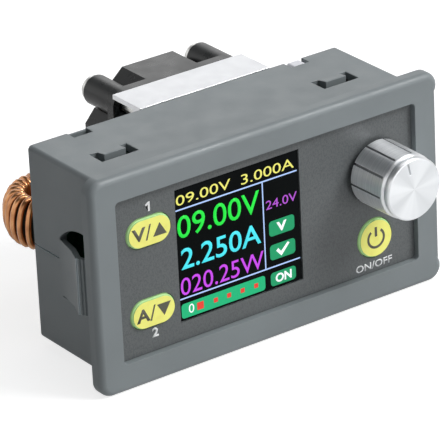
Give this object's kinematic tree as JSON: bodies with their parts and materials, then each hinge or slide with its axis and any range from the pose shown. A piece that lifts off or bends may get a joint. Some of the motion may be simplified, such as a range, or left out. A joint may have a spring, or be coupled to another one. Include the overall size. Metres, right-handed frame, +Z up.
{
  "type": "buck converter module",
  "caption": "Panel-mounted step-down converter module with colour display, keys, push-turn knob, ring choke, finned heat sink and fan behind its housing.",
  "frame": {"origin": "centre of the panel cut-out, on the back face of the flange", "axes": "+X to the right seen from the front, +Y into the panel, +Z up"},
  "size_m": [0.079, 0.0579, 0.043],
  "materials": {
    "case_plastic": "fine satin moulded plastic",
    "overlay": "fine brushed print",
    "display": "gloss, dark",
    "white_plastic": "satin",
    "board": "lacquered board",
    "key_rubber": "soft translucent yellow",
    "black_plastic": "satin",
    "plated_steel": "bright zinc plate",
    "turned_aluminium": "turned, clear anodised",
    "pale_aluminium": "matt anodised",
    "pad": "soft pad",
    "brass": "plain",
    "ferrite": "coated iron powder",
    "copper_wire": "enamelled copper",
    "capacitor_sleeve": "shrunk sleeve",
    "terminal_green": "satin",
    "fuse_glass": "clear"
  },
  "bodies": {
    "housing": {"case": "case_plastic", "front_overlay": "overlay", "display_glass": "display", "display_frame": "white_plastic", "display_board": "board", "controller_chip": "black_plastic", "switch_voltage": "black_plastic", "switch_current": "black_plastic", "switch_power": "black_plastic", "encoder_body": "plated_steel", "board_header": "black_plastic", "power_board": "board", "board_screws": "plated_steel", "transistors": "black_plastic", "thermal_pad": "pad", "heat_sink": "pale_aluminium", "sink_spacers": "brass", "sink_screws": "plated_steel", "fan_frame": "black_plastic", "fan_bearing": "brass", "fan_screws": "plated_steel", "fan_socket": "white_plastic", "socket_pins": "brass", "toroid_core": "ferrite", "toroid_winding": "copper_wire", "capacitor_upper": "capacitor_sleeve", "capacitor_lower": "capacitor_sleeve", "terminal_block": "terminal_green", "terminal_screws": "plated_steel", "wire_clamps": "plated_steel", "fuse_clips": "plated_steel", "fuse": "fuse_glass", "shunt": "brass", "diode": "black_plastic"},
    "key_voltage": {"key_voltage": "key_rubber", "stem_voltage": "black_plastic"},
    "key_current": {"key_current": "key_rubber", "stem_current": "black_plastic"},
    "key_power": {"key_power": "key_rubber", "stem_power": "black_plastic"},
    "encoder_rotor": {"encoder_rotor": "white_plastic"},
    "knob": {"knob": "turned_aluminium", "encoder_shaft": "plated_steel"},
    "fan_rotor": {"fan_rotor": "black_plastic"}
  },
  "joints": [
    {"name": "knob_turn", "type": "hinge", "parent": "housing", "child": "encoder_rotor", "pos_m": [0.025, 0, 0.005], "axis": [0, 1, 0], "continuous": true},
    {"name": "knob_push", "type": "slide", "parent": "encoder_rotor", "child": "knob", "axis": [0, 1, 0], "range_m": [0, 0.0005], "stiffness_N_per_m": 6000},
    {"name": "key_voltage_press", "type": "slide", "parent": "housing", "child": "key_voltage", "axis": [0, 1, 0], "range_m": [0, 0.0003], "stiffness_N_per_m": 3000},
    {"name": "key_current_press", "type": "slide", "parent": "housing", "child": "key_current", "axis": [0, 1, 0], "range_m": [0, 0.0003], "stiffness_N_per_m": 3000},
    {"name": "key_power_press", "type": "slide", "parent": "housing", "child": "key_power", "axis": [0, 1, 0], "range_m": [0, 0.0003], "stiffness_N_per_m": 3000},
    {"name": "fan_spin", "type": "hinge", "parent": "housing", "child": "fan_rotor", "pos_m": [0.0047, 0.03, 0.0045], "axis": [0, 1, 0], "continuous": true}
  ]
}
